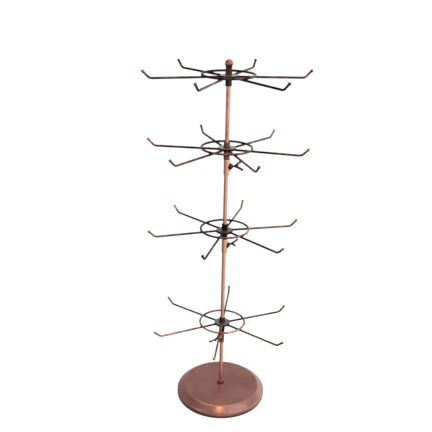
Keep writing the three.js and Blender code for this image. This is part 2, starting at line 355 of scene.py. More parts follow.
class Graph(Nodes):
    """A material round one principled shader."""

    def __init__(self, name):
        self.mat = bpy.data.materials.new(name)
        super().__init__(self.mat)
        self.out = self.node("ShaderNodeOutputMaterial")
        self.bsdf = self.node("ShaderNodeBsdfPrincipled")
        self.link(self.bsdf.outputs[0], self.out.inputs[0])
        self.place = self.node("ShaderNodeTexCoord").outputs["Object"]

    def around_half(self, value, share, base):
        """base plus a share of what the value differs from a half."""
        return self.math("MULTIPLY_ADD", self.math("SUBTRACT", value, 0.5), share, base)

    def noise(self, size_mm, detail=3.0, rough=0.55, offset=0.0):
        n = self.node("ShaderNodeTexNoise", noise_dimensions="4D")
        n.inputs["Scale"].default_value = 1 / (size_mm * MM)
        n.inputs["Detail"].default_value = detail
        n.inputs["Roughness"].default_value = rough
        n.inputs["W"].default_value = offset
        self.link(self.place, n.inputs["Vector"])
        return n.outputs["Fac"]

    def mix(self, share, a, b):
        n = self.node("ShaderNodeMix", data_type="RGBA")
        self.put(n.inputs["Factor"], share)
        self.put(n.inputs["A"], a)
        self.put(n.inputs["B"], b)
        return n.outputs["Result"]

    def attribute(self, name):
        return self.node("ShaderNodeAttribute", attribute_name=name).outputs["Fac"]

    def bump(self, height, distance_mm, strength):
        n = self.node("ShaderNodeBump")
        n.inputs["Distance"].default_value = distance_mm * MM
        n.inputs["Strength"].default_value = strength
        self.link(height, n.inputs["Height"])
        self.link(n.outputs[0], self.bsdf.inputs["Normal"])

    def finish(self, color, roughness, metallic):
        self.put(self.bsdf.inputs["Base Color"], color)
        self.put(self.bsdf.inputs["Roughness"], roughness)
        self.put(self.bsdf.inputs["Metallic"], metallic)
        return self.mat


def antique(name, bright, middle, dark, darkness=0.0, rough=0.3, seed=0.0, patch_mm=7.0, contrast=1.3):
    """Antique copper: bright metal that shows through a brown and black oxide, more of it where the
    patina attribute is high; that attribute also carries painted shade and painted highlights. Fine
    scratches and small pits break up the shine."""
    g = Graph(name)
    bright, middle, dark = srgb(*bright), srgb(*middle), srgb(*dark)
    yellower = tuple(min(1, c * f) for c, f in zip(bright, (1.0, 1.12, 1.18, 1)))
    patch = g.noise(patch_mm, detail=4, rough=0.6, offset=seed)
    speck = g.noise(1.3, detail=3, rough=0.65, offset=seed + 5)
    fine = g.noise(0.5, detail=2, rough=0.5, offset=seed + 2)
    level = g.math("ADD", g.attribute("patina_and_painted_light"), darkness)
    level = g.around_half(patch, contrast, level)
    level = g.around_half(speck, 0.4 * contrast, level)
    brown = g.ramp(level, 0.10, 0.55)
    black = g.ramp(level, 0.50, 0.95)
    tint = g.mix(g.noise(16, detail=2, rough=0.5, offset=seed + 9), bright, yellower)
    color = g.mix(black, g.mix(brown, tint, middle), dark)
    roughness = g.around_half(speck, 0.22, g.math("MULTIPLY_ADD", black, 0.14, rough))
    g.bump(g.math("ADD", g.math("MULTIPLY", fine, 0.5), speck), 0.035, 0.8)
    return g.finish(color, roughness, metallic=0.88)


def disc_material():
    """Turned steel disc, blackened, with fine turning rings that catch the light from above, and a painted
    sheen: its top is coloured light grey for reflected light, dark at the rim and underneath.
    """
    g = Graph("turned_dark_disc")
    ring_pitch = 0.42 * MM
    split = g.node("ShaderNodeSeparateXYZ")
    g.link(g.place, split.inputs[0])
    x, y = split.outputs[:2]
    radius = g.math("SQRT", g.math("ADD", g.math("MULTIPLY", x, x), g.math("MULTIPLY", y, y)))
    rings = g.math("SINE", g.math("MULTIPLY", radius, TAU / ring_pitch))
    sheen_and_wear = g.noise(5, detail=4, rough=0.6, offset=2.0)
    # painted sheen: these light greys stand for the room's light mirrored in the blackened top; the dark
    # colour mixed in below is the steel's own
    color = g.mix(g.ramp(sheen_and_wear, 0.35, 0.7), srgb(158, 150, 153), srgb(112, 102, 106))
    color = g.mix(g.ramp(g.attribute("patina_and_painted_light"), 0.2, 0.8), color, srgb(34, 26, 28))
    roughness = g.math("MULTIPLY_ADD", sheen_and_wear, 0.2, 0.28)
    g.bump(g.math("ADD", g.math("MULTIPLY", rings, 0.5), g.noise(0.6, detail=2)), 0.012, 0.7)
    return g.finish(color, roughness, metallic=0.85)


def base_material():
    """Semi-gloss mauve-copper coat over the pressed cover, with faint orange peel, soft blotches, and
    painted shade: darker along the bottom edge and round the hole.
    """
    g = Graph("mauve_copper_coat")
    blotch = g.noise(34, detail=3, rough=0.5, offset=1.0)
    fleck = g.noise(0.9, detail=2, rough=0.6, offset=4.0)
    peel = g.noise(2.2, detail=2, rough=0.5, offset=3.0)
    color = g.mix(g.ramp(blotch, 0.36, 0.66), srgb(151, 102, 96), srgb(167, 117, 109))
    color = g.mix(g.ramp(fleck, 0.6, 0.78, 0, 0.35), color, srgb(196, 148, 134))
    color = g.mix(g.ramp(g.attribute("patina_and_painted_light"), 0.1, 0.9), color, srgb(58, 34, 32))
    roughness = g.around_half(g.noise(12, detail=3, offset=7.0), 0.12, 0.3)
    g.bump(g.math("ADD", peel, g.math("MULTIPLY", fleck, 0.35)), 0.03, 0.55)
    g.bsdf.inputs["Coat Weight"].default_value = 0.25
    g.bsdf.inputs["Coat Roughness"].default_value = 0.16
    return g.finish(color, roughness, metallic=0.55)


def iron_material():
    g = Graph("cast_iron_weight")
    grain = g.noise(1.6, detail=5, rough=0.7)
    color = g.mix(g.ramp(g.noise(18, detail=4), 0.4, 0.7), srgb(70, 68, 68), srgb(96, 84, 76))
    g.bump(grain, 0.25, 0.8)
    return g.finish(color, g.ramp(grain, 0.2, 0.8, 0.6, 0.9), metallic=0.7)


def foam_material():
    g = Graph("black_foam_pad")
    cell_size = 0.9 * MM
    cells = g.node("ShaderNodeTexVoronoi")
    cells.inputs["Scale"].default_value = 1 / cell_size
    g.link(g.place, cells.inputs["Vector"])
    depth = cells.outputs["Distance"]
    color = g.mix(g.ramp(depth, 0.1, 0.6), srgb(20, 20, 21), srgb(46, 45, 46))
    g.bump(depth, 0.25, 0.9)
    return g.finish(color, 0.93, metallic=0.0)


def zinc_material():
    g = Graph("zinc_plate")
    bloom = g.noise(2.6, detail=4, rough=0.6)
    color = g.mix(g.ramp(bloom, 0.35, 0.7), srgb(176, 178, 180), srgb(146, 144, 138))
    g.bump(g.noise(0.5, detail=2), 0.02, 0.6)
    return g.finish(color, g.ramp(bloom, 0.3, 0.7, 0.25, 0.45), metallic=0.95)


# Bright, brown and black of each antique finish
wire_mat = antique(
    "antique_copper_wire", (206, 142, 120), (104, 68, 57), (29, 20, 15), patch_mm=11, contrast=0.85
)
pole_mat = antique(
    "antique_copper_rod", (226, 164, 142), (180, 118, 100), (88, 54, 47), darkness=-0.18, patch_mm=14
)
collar_mat = antique(
    "antique_copper_collar", (232, 168, 142), (158, 98, 82), (54, 34, 32), seed=3.0, patch_mm=5
)
hub_mat = antique("dark_bronze_hub", (128, 84, 78), (78, 50, 52), (22, 17, 21), seed=6.0, patch_mm=6)
weld_mat = antique(
    "weld_bead", (120, 78, 66), (70, 46, 44), (26, 20, 23), darkness=0.25, rough=0.42, seed=8.0, patch_mm=2
)
screw_mat = antique(
    "antique_wing_screw", (196, 130, 112), (96, 60, 54), (22, 17, 19), rough=0.32, seed=11.0, patch_mm=5
)
disc_mat = disc_material()
base_mat = base_material()
iron_mat = iron_material()
foam_mat = foam_material()
zinc_mat = zinc_material()

# ---- Pieces ----


def piece(obj, nodes, body, material):
    """Gives obj its material and lets it ride on its body in place of the CAD nodes."""
    obj.data.materials.clear()
    obj.data.materials.append(material)
    if "patina_and_painted_light" not in obj.data.attributes:
        add_attribute(obj, "patina_and_painted_light", [0.0] * len(obj.data.vertices))
    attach(obj, body)
    if nodes:
        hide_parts(*nodes)


def paint(obj, rule):
    """Patina, painted shade and painted highlights of every vertex, from a rule of its place."""
    add_attribute(obj, "patina_and_painted_light", [rule(v.co) for v in obj.data.vertices])


# ---- Base ----

CROWN_RADIUS = 6 * MM
SHOULDER_RADIUS = 4 * MM
BEVEL_FOOT = 9 * MM
HEM_RADIUS = 1 * MM
HEM_WIDTH = 5 * MM

cover_low, cover_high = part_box("base_cover")
cover_outline = outline_of("base_cover")
COVER_R = max(r for r, z in cover_outline)
COVER_TOP = cover_high.z
HOLE_R = min(r for r, z in cover_outline)
HEM_Z = cover_low.z
FLAT_R = max(r for r, z in cover_outline if abs(z - COVER_TOP) < SAME)
SKIRT_TOP = max(z for r, z in cover_outline if r > COVER_R - 0.05 * MM)
under_flat = [z for r, z in cover_outline if z < COVER_TOP - 0.5 * MM and r < HOLE_R + 1 * MM]
SHEET = COVER_TOP - max(under_flat)


def cover_line(inset):
    """The pressed cover's outline, moved inwards: flat top, crown, bevel, shoulder and skirt."""
    bevel_normal = QUARTER - math.atan2(COVER_TOP - BEVEL_FOOT, COVER_R - FLAT_R)
    flat = [(r, COVER_TOP - inset) for r in np.linspace(HOLE_R + 2 * MM, FLAT_R - 1 * MM, 14)]
    crown = arc((FLAT_R, COVER_TOP - CROWN_RADIUS), CROWN_RADIUS - inset, QUARTER, bevel_normal, 8)
    middle = (COVER_R - SHOULDER_RADIUS, SKIRT_TOP)
    shoulder = arc(middle, SHOULDER_RADIUS - inset, bevel_normal, 0, 10)
    return [(HOLE_R, COVER_TOP - inset)] + flat + crown + shoulder


def build_cover():
    lip = [(HOLE_R, COVER_TOP - SHEET * k / 4) for k in (3, 2, 1)]
    hem = arc((COVER_R - HEM_RADIUS, HEM_Z + HEM_RADIUS), HEM_RADIUS, 0, -QUARTER, 5)
    hem_end = COVER_R - HEM_WIDTH
    hem += [(hem_end, HEM_Z), (hem_end, HEM_Z + SHEET), (COVER_R - SHEET, HEM_Z + SHEET)]
    obj = lathe("base_cover_shell", cover_line(0) + hem + cover_line(SHEET)[::-1] + lip, 160)
    # the sheet is not quite flat between the hole and the crown
    for v in obj.data.vertices:
        r = math.hypot(v.co.x, v.co.y)
        if v.co.z > COVER_TOP - 0.05 * MM and 12 * MM < r < FLAT_R - 6 * MM:
            v.co.z += 0.05 * MM * wobble(v.co, 42, 3.1)
    crisp(obj, 50)

    def rule(p):
        # painted shade: a dark band along the bottom edge stands for the contact shadow, and a darker ring
        # round the hole for the shade in the gap round the pole
        low = max(0.0, 1.25 - (p.z - HEM_Z) / (4 * MM))
        hole = max(0.0, 1 - (math.hypot(p.x, p.y) - HOLE_R) / (1.1 * MM))
        return max(low, hole * 0.8)

    paint(obj, rule)
    piece(obj, ["base_cover"], "stand", base_mat)


def build_weight():
    low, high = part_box("base_weight")
    outline = outline_of("base_weight")
    outer = max(r for r, z in outline)
    bore = min(r for r, z in outline)
    pocket_r = min(r for r, z in outline if abs(z - low.z) < SAME)
    pocket_top = max(z for r, z in outline if abs(r - pocket_r) < SAME)
    shoulder_z = max(z for r, z in outline if abs(r - outer) < SAME)
    shoulder_r = max(r for r, z in outline if abs(z - high.z) < SAME)
    corners = [
        (pocket_r, low.z, True),
        (outer, low.z, True),
        (outer, shoulder_z, True),
        (shoulder_r, high.z, True),
        (bore, high.z, True),
        (bore, pocket_top, False),
        (pocket_r, pocket_top, False),
    ]
    obj = lathe("cast_weight", rounded(corners, 0.8 * MM), 120)
    piece(crisp(obj, 50), ["base_weight"], "stand", iron_mat)


def build_flat_ring(name, node, edge, segments, material):
    """A plain ring with softened edges: the foam pad and the washer."""
    low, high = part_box(node)
    inner, outer = radial_span(node)
    obj = lathe(name, rounded(tube_corners(inner, outer, low.z, high.z), edge), segments)
    piece(crisp(obj, 60), [node], "stand", material)


def build_pole():
    low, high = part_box("pole")
    z0, z1 = low.z, high.z
    pole_r = radial_span("pole")[1]
    edge = ((0.8 * MM, 0), (0.25 * MM, 0.22 * MM), (0, 0.8 * MM))
    foot_end = [(0, z0)] + [(pole_r - inwards, z0 + rise) for inwards, rise in edge]
    straight = [(pole_r, z) for z in np.linspace(z0 + 4 * MM, z1 - pole_r, 120)]
    dome = arc((0, z1 - pole_r), pole_r, 0, QUARTER, 8)[1:-1] + [(0, z1)]
    obj = lathe("pole_rod", foot_end + straight + dome, 40, closed=False)

    def rule(p):
        foot = max(0.0, 1 - (p.z - COVER_TOP) / (80 * MM)) * 0.62
        wear_and_highlight = 0.12 * wobble((0, 0, p.z), 30, 2.0)
        # painted shade: the rod's left side is painted darker, away from the light
        side = 0.12 * max(0.0, -p.x / pole_r)
        height = min(1.0, max(0.0, (p.z - z0) / (z1 - z0) - 0.45) / 0.3) * 0.36
        return foot + wear_and_highlight + side + height

    paint(obj, rule)
    piece(obj, ["pole"], "stand", pole_mat)


def build_hex_nut(name, node):
    """Hexagon nut round the pole, with its corners turned down and its bore chamfered on both faces."""
    low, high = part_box(node)
    pts = points_of(node)
    radii = np.hypot(pts[:, 0], pts[:, 1])
    corner, bore = radii.max(), radii.min()
    corner_x, corner_y = pts[radii.argmax()][:2]
    start = math.atan2(corner_y, corner_x)
    flat = corner * math.cos(math.pi / 6)
    face_r = flat * 0.985
    drop, chamfer_wide, chamfer_deep = 0.55 * MM, 0.25 * MM, 0.35 * MM
    outside = ((low.z, face_r), (low.z + drop, corner), (high.z - drop, corner), (high.z, face_r))
    inside = (
        (high.z, bore + chamfer_wide),
        (high.z - chamfer_deep, bore),
        (low.z + chamfer_deep, bore),
        (low.z, bore + chamfer_wide),
    )
    sides = 72
    verts = []
    for z, limit in outside + inside:
        for k in range(sides):
            a = TAU * k / sides
            r = min(limit, hexagon_radius(flat, a))
            verts.append((r * math.cos(a + start), r * math.sin(a + start), z))
    obj = mesh_object(name, verts, skin(len(outside) + len(inside), sides, closed=True))
    piece(crisp(obj, 25), [node], "stand", zinc_mat)


build_cover()
build_weight()
build_flat_ring("foot_pad", "base_pad", 0.45 * MM, 120, foam_mat)
build_pole()
build_hex_nut("hex_nut_above", "pole_upper_nut")
build_hex_nut("hex_nut_below", "pole_lower_nut")
build_flat_ring("flat_washer", "pole_washer", 0.25 * MM, 72, zinc_mat)

# ---- Spiders ----

# How black each arm is at its root, in the middle, at its bend and at its tip
ARM_PATINA = {
    "top": [
        (1.1, 0.8, 0.75, 0.75), (1.1, 1.0, 0.95, 0.8), (1.1, 1.1, 1.0, 0.75),
        (1.0, 0.72, 0.85, 0.7), (1.0, 0.62, 0.8, 0.7), (1.1, 1.0, 0.95, 0.8),
    ],
    "upper": [
        (1.1, 1.05, 0.75, 0.4), (1.0, 0.6, 0.6, 0.4), (1.1, 1.0, 0.9, 0.6),
        (1.1, 0.95, 0.7, 0.3), (1.0, 0.62, 0.65, 0.5), (1.05, 0.62, 0.6, 0.55),
    ],
    "middle": [
        (1.1, 0.62, 0.7, 0.5), (1.15, 0.7, 0.65, 0.45), (1.15, 0.75, 0.65, 0.45),
        (1.15, 0.8, 0.65, 0.45), (1.15, 0.8, 1.0, 1.0), (1.15, 1.0, 0.8, 0.55),
    ],
    "lower": [
        (1.15, 0.75, 0.85, 0.35), (1.1, 0.75, 0.7, 0.5), (1.15, 0.5, 0.65, 0.4),
        (1.15, 0.45, 0.45, 0.35), (0.6, 0.5, 0.6, 0.35), (1.15, 0.52, 0.9, 0.4),
    ],
}
# How black each ring is away from its painted highlight and under it, and where the painted highlight is
RING_DARK = {"top": 1.0, "upper": 0.85, "middle": 1.05, "lower": 0.45}
RING_PAINTED_HIGHLIGHT = {"top": 0.7, "upper": 0.5, "middle": 0.35, "lower": 0.25}
RING_PAINTED_HIGHLIGHT_SIDE = {"top": 0, "upper": -80, "middle": -25, "lower": -80}
# How black each hub's tube is, how much painted shade darkens it below its disc, and how much the painted
# sheen on the disc's top is dulled
TUBE_PATINA = {"top": 0.45, "upper": 0.30, "middle": 0.95, "lower": 0.55}
TUBE_SHADE_UNDER_DISC = {"top": 0.3, "upper": 0.05, "middle": 0.3, "lower": 0.3}
DISC_SHEEN_DULLING = {"top": 0.0, "upper": 0.0, "middle": 0.45, "lower": 0.3}


def arm_shape(node):
    """Centreline stations and sizes of an arm, from its CAD solid, in the arm's own upright plane."""
    section_points, sections = 8, 5
    pts = points_of(node)
    turn = azimuth_of(node)
    along = np.array([math.cos(turn), math.sin(turn), 0])
    across = np.array([-math.sin(turn), math.cos(turn), 0])
    local = np.stack([pts @ along, pts @ across, pts[:, 2]], 1)
    ball = np.abs(local[:, 1]).max()
    tip = np.array([local[:, 0].max() - ball, 0, local[:, 2].max() - ball])
    wire = local[np.linalg.norm(local - tip, axis=1) > ball * 1.1]
    order = wire[np.argsort(wire[:, 0])]
    stations = [order[i * section_points : (i + 1) * section_points].mean(0) for i in range(sections)]
    radius = np.abs(order[:section_points, 1]).max() / math.cos(math.pi / section_points)
    return turn, stations, tip, radius, ball


def arm_path(start, bend_from, bend_to, tip):
    """Points along an arm's wire: close together at the weld, then straight, bent and straight again."""
    along = (bend_from - start).normalized()
    up = (tip - bend_to).normalized()
    angle = along.angle(up)
    bend_radius = (bend_to - bend_from).length / (2 * math.sin(angle / 2))
    inward = Vector((-along.z, 0, along.x))
    shares = [0, 0.004, 0.009, 0.015, 0.022, 0.03, 0.045] + list(np.linspace(0.07, 1, 26))
    centres = [start + (bend_from - start) * t for t in shares]
    for k in range(1, 11):
        a = angle * k / 10
        rise = inward * (bend_radius * (1 - math.cos(a)))
        centres.append(bend_from + along * (bend_radius * math.sin(a)) + rise)
    reach = (tip - bend_to).length
    return centres + [bend_to + up * (reach * t) for t in np.linspace(0.15, 0.82, 6)], up


def build_arm(tier, i):
    """One hooked wire, thickened by its weld at the root, with a ball formed on its tip."""
    node = f"{tier}_arm_{i}"
    root_flare, flare_length, smallest = 0.42, 1.0 * MM, 0.02 * MM
    turn, stations, tip, radius, ball = arm_shape(node)
    start = Vector((stations[0][0] - 0.2 * MM, 0, stations[0][2]))
    bend_from, bend_to = Vector(stations[1]), Vector(stations[4])
    bend_from.y = bend_to.y = 0
    tip = Vector((tip[0], 0, tip[2]))
    centres, up = arm_path(start, bend_from, bend_to, tip)
    away = [(c - start).length for c in centres]
    radii = [radius * (1 + root_flare * math.exp(-((d / flare_length) ** 2))) for d in away]
    for k in range(13):
        a = math.pi * (0.20 + 0.80 * k / 12)
        r = ball * math.sin(a)
        offset = -ball * math.cos(a)
        centres.append(tip + up * offset)
        radii.append(max(r, radius if offset < 0 else smallest))
    kept = [(centres[0], radii[0])]
    for c, r in zip(centres, radii):
        if (c - kept[-1][0]).length > smallest:
            kept.append((c, r))
    obj = mesh_object(f"{tier}_hook_arm_{i}", *sweep(*zip(*kept), sides=20))
    seed = 3.7 * i + 40 * TIERS.index(tier)
    stops = (start.x, 0.55 * (start.x + bend_from.x), bend_to.x, tip.x)
    line = (start.x, bend_from.x, bend_to.x), (start.z, bend_from.z, bend_to.z)

    def rule(p):
        level = float(np.interp(p.x, stops, ARM_PATINA[tier][i - 1])) - 0.12
        # painted shade: before the bend, the wire's underside is painted darker
        if p.x < bend_to.x:
            level += 0.22 * max(0.0, (np.interp(p.x, *line) - p.z) / radius)
        return level + 0.25 * wobble(p, 11, seed)

    paint(obj, rule)
    obj.data.transform(Matrix.Rotation(turn, 4, "Z"))
    piece(obj, [node], f"{tier}_spider", wire_mat)


def ring_sizes(tier):
    """Radius, wire radius, middle height and arm directions of a tier's ring."""
    low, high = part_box(f"{tier}_ring")
    wire = (high.z - low.z) / 2
    arms = [azimuth_of(f"{tier}_arm_{i}") for i in ARMS]
    return radial_span(f"{tier}_ring")[1] - wire, wire, (high.z + low.z) / 2, arms


def build_ring(tier):
    """The ring, a little thicker where its two ends are butt-welded."""
    radius, wire, middle, arms = ring_sizes(tier)
    weld_at = arms[2] + 0.45
    major, sides = 180, 18
    verts = []
    for i in range(major):
        a = TAU * i / major
        away = wrapped(a - weld_at) * radius
        r = wire * (1 + 0.11 * math.exp(-((away / (0.9 * MM)) ** 2)))
        for k in range(sides):
            b = TAU * k / sides
            reach = radius + r * math.cos(b)
            verts.append((reach * math.cos(a), reach * math.sin(a), middle + r * math.sin(b)))
    obj = mesh_object(f"{tier}_wire_ring", verts, skin(major, sides, closed=True))
    painted_highlight_side = math.radians(RING_PAINTED_HIGHLIGHT_SIDE[tier])

    def rule(p):
        a = math.atan2(p.y, p.x)
        # painted highlight: the ring is painted brighter on the side the light falls on
        painted_highlight = 0.5 + 0.5 * math.cos(a - painted_highlight_side)
        painted_highlight = painted_highlight * painted_highlight * (3 - 2 * painted_highlight)
        level = RING_DARK[tier] + (RING_PAINTED_HIGHLIGHT[tier] - RING_DARK[tier]) * painted_highlight
        near = min(abs(wrapped(a - b)) for b in arms) * radius
        heat = 0.35 * math.exp(-((near / (3.2 * MM)) ** 2))
        # painted shade: the underside of the ring wire is painted darker
        under = 0.35 * max(0.0, -(p.z - middle) / wire)
        return level + heat + under + 0.2 * wobble(p, 12, len(tier))

    paint(obj, rule)
    piece(obj, [f"{tier}_ring"], f"{tier}_spider", wire_mat)


def build_ring_welds(tier):
    """The six spots where the ring is welded down onto the arms: a core and four small beads each."""
    radius, *_, arms = ring_sizes(tier)
    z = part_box(f"{tier}_ring")[0].z - 0.12 * MM
    parts = []
    for i, arm in zip(ARMS, arms):
        turn = Matrix.Rotation(arm, 4, "Z")
        for k, (out, across) in enumerate(((0.9, 0.95), (-0.9, 0.95), (0.9, -0.95), (-0.9, -0.95))):
            size = (0.62 + 0.14 * wobble((i, k, 0.5), 1000, len(tier))) * MM
            spot = turn @ Matrix.Translation((radius + out * MM, across * MM, z))
            parts.append(placed(ellipsoid((0, 0, 0), (size, size, 0.5 * MM), 6, 10), spot))
        spot = turn @ Matrix.Translation((radius, 0, z))
        parts.append(placed(ellipsoid((0, 0, 0), (1.1 * MM, 1.1 * MM, 0.62 * MM), 6, 12), spot))
    obj = remeshed(joined(f"{tier}_ring_welds", parts), 0.2 * MM, 2)
    piece(obj, [], f"{tier}_spider", weld_mat)


def build_hub_tube(tier):
    node = f"{tier}_hub_tube"
    low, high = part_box(node)
    corners = tube_corners(*radial_span(node), low.z, high.z, bore_edge=0.6)
    tube = lathe(f"{tier}_hub_sleeve", filled(rounded(corners, 0.4 * MM), 1 * MM), 64)
    disc_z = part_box(f"{tier}_hub_disc")[0].z

    def rule(p):
        # painted shade: the tube is painted darker below the disc, which shades it
        below = 0.0 if p.z > disc_z else TUBE_SHADE_UNDER_DISC[tier]
        return TUBE_PATINA[tier] + below + 0.18 * wobble(p, 8, len(tier) * 2.0)

    paint(crisp(tube, 40), rule)
    piece(tube, [node], f"{tier}_spider", hub_mat)


def build_hub_disc(tier):
    node = f"{tier}_hub_disc"
    low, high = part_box(node)
    inner, outer = radial_span(node)
    top_edge, under_edge, steps = 0.55 * MM, 0.4 * MM, 10
    under = arc((outer - under_edge, low.z + under_edge), under_edge, -QUARTER, 0, 4)
    edge = arc((outer - top_edge, high.z - top_edge), top_edge, 0, QUARTER, 5)
    flat = outer - top_edge
    top = [(flat - (flat - inner) * k / steps, high.z) for k in range(1, steps + 1)]
    disc = crisp(lathe(f"{tier}_hub_flange", [(inner, low.z)] + under + edge + top, 96), 60)

    def rule(p):
        # painted sheen: the underside and the rim keep the dark blackened colour, and the top keeps its
        # painted light-grey sheen, dulled per tier
        if p.z < high.z - 0.35 * MM:
            return 1.0
        return max(DISC_SHEEN_DULLING[tier], 0.9 - 0.9 * (outer - math.hypot(p.x, p.y)) / (0.8 * MM))

    paint(disc, rule)
    piece(disc, [node], f"{tier}_spider", disc_mat)


def build_hub_weld(tier):
    """The weld bead round the tube above and below the disc, in short overlapping ripples."""
    low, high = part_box(f"{tier}_hub_disc")
    middle_r = radial_span(f"{tier}_hub_tube")[1] + 0.1 * MM
    ripples, steps, sides = 26, 144, 10
    verts, faces = [], []
    for side, z in ((1, high.z), (-1, low.z)):
        faces += skin(steps, sides, closed=True, base=len(verts))
        for i in range(steps):
            a = TAU * i / steps
            ripple = 0.5 + 0.5 * math.cos(a * ripples)
            uneven = noise.noise(Vector((math.cos(a) * 3, math.sin(a) * 3, z * 90)))
            size = (0.62 + 0.10 * ripple + 0.08 * uneven) * MM
            for k in range(sides):
                b = TAU * k / sides
                r = middle_r + size * math.cos(b)
                rise = side * 0.05 * MM + size * 0.85 * math.sin(b)
                verts.append((r * math.cos(a), r * math.sin(a), z + rise))
    bead = mesh_object(f"{tier}_hub_weld", verts, faces)
    piece(bead, [], f"{tier}_spider", weld_mat)


def build_finial():
    low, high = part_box("ball_finial")
    ball = max(radial_span("ball_finial")[1], (high.x - low.x) / 2)
    tube_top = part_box("top_hub_tube")[1].z
    neck = radial_span("top_hub_tube")[1] - 0.45 * MM
    stub = max(math.hypot(x, y) for x, y, z in points_of("ball_finial") if z < tube_top)
    centre = high.z - ball
    outline = [(0, low.z), (stub - 0.3 * MM, low.z), (stub, low.z + 0.4 * MM), (stub, tube_top + 0.1 * MM)]
    outline += [(neck, tube_top + 0.1 * MM), (neck + 0.12 * MM, tube_top + 0.3 * MM)]
    begin = 0.08 - math.acos(min(1, neck / ball))
    outline += arc((0, centre), ball, begin, QUARTER, 24)[:-1] + [(0, centre + ball)]
    obj = crisp(lathe("finial_ball", outline, 64, closed=False), 55)

    def rule(p):
        # painted reflection: the lower half of the ball is painted darker, where it mirrors the dark tube
        # below
        painted_dark_reflection = max(0.0, -(p.z - centre) / ball)
        return 0.52 + 0.7 * painted_dark_reflection + 0.2 * wobble(p, 4, 4.0)

    paint(obj, rule)
    piece(obj, ["ball_finial"], "top_spider", collar_mat)


for tier_name in TIERS:
    build_hub_tube(tier_name)
    build_hub_disc(tier_name)
    build_hub_weld(tier_name)
    build_ring(tier_name)
    build_ring_welds(tier_name)
    for index in ARMS:
        build_arm(tier_name, index)
build_finial()

# ---- Collars, weld nuts and wing screws ----

DRILL_RADIUS = 1.75 * MM
DRILL_DEPTH = 9 * MM
NUT_BORE = 1.72 * MM
NUT_BORE_MOUTH = 1.95 * MM
WING_ROOT = 14.2 * MM
WING_LENGTH = 10.7 * MM
WING_LEAN = math.radians(40)
WING_ROOT_HALF = 2.1 * MM
WING_END_HALF = 1.85 * MM
WING_THICKNESS = 2.7 * MM
KNOB_SWELL = 0.22 * MM
THREAD_PITCH = 0.5 * MM
THREAD_DEPTH = 0.24 * MM

COLLAR_PATINA = {"upper": 0.0, "middle": -0.1, "lower": 0.6}
NUT_PATINA = {"upper": 0.75, "middle": 0.7, "lower": 0.1}
SCREW_PATINA = {"upper": 0.7, "middle": 0.4, "lower": 0.95}


class Clamp:
    """What the pieces of one clamp share: the screw's own frame, with +X along it, and the collar."""

    def __init__(self, tier):
        joint = joints[f"{tier}_screw_turn"]
        axis = Vector(joint["axis"]).normalized()
        self.tier = tier
        self.body = f"{tier}_clamp"
        self.height = joint["pos_m"][2]
        turn = Matrix.Rotation(math.atan2(axis.y, axis.x), 4, "Z")
        self.place = Matrix.Translation(Vector((0, 0, self.height))) @ turn
        self.local = self.place.inverted()
        # the collar stands off the pole's axis, towards the screw, as in the CAD
        self.low, self.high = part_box(f"{tier}_collar")
        self.centre = (self.low + self.high) / 2
        pts = points_of(f"{tier}_collar") - np.array([self.centre.x, self.centre.y, 0])
        radii = np.hypot(pts[:, 0], pts[:, 1])
        self.outer = radii.max()
        self.inner = radii[abs(pts[:, 2] - self.low.z) < SAME].min()
        self.offset = Vector((self.centre.x, self.centre.y, 0)).length

    def local_points(self, node):
        return np.array([list(self.local @ Vector(p)) for p in points_of(node)])

    def lathe(self, name, outline, segments, closed=True):
        return lathe(name, outline, segments, closed, centre=(self.centre.x, self.centre.y))


def build_collar(clamp):
    """The collar, with the drilled hole behind the nut."""
    low, high, outer = clamp.low, clamp.high, clamp.outer
    corners = tube_corners(clamp.inner, outer, low.z, high.z, bore_edge=0.6)
    collar = clamp.lathe(f"{clamp.tier}_stop_collar", filled(rounded(corners, 0.4 * MM), 0.8 * MM), 64)
    drill = placed(cone(DRILL_RADIUS, DRILL_RADIUS, 0, DRILL_DEPTH), clamp.place)
    carved(collar, mesh_object("drill", *drill))
    crisp(collar, 40)
    nut_spot = clamp.place @ Vector((outer, 0, 0))

    def rule(p):
        # painted shade: the collar's left side is painted darker; its ends and the place round the nut are
        # darker as well
        shaded_left = max(0.0, -(p.x - clamp.centre.x) / outer)
        ends = max(0.0, 1 - min(p.z - low.z, high.z - p.z) / (1.2 * MM))
        nut = max(0.0, 1 - (p - nut_spot).length / (7 * MM))
        stain_and_shade = 0.25 * shaded_left**3 + 0.3 * ends + 0.45 * nut
        return COLLAR_PATINA[clamp.tier] + stain_and_shade + 0.22 * wobble(p, 6, 2.0 + len(clamp.tier))

    paint(collar, rule)
    piece(collar, [f"{clamp.tier}_collar"], clamp.body, collar_mat)


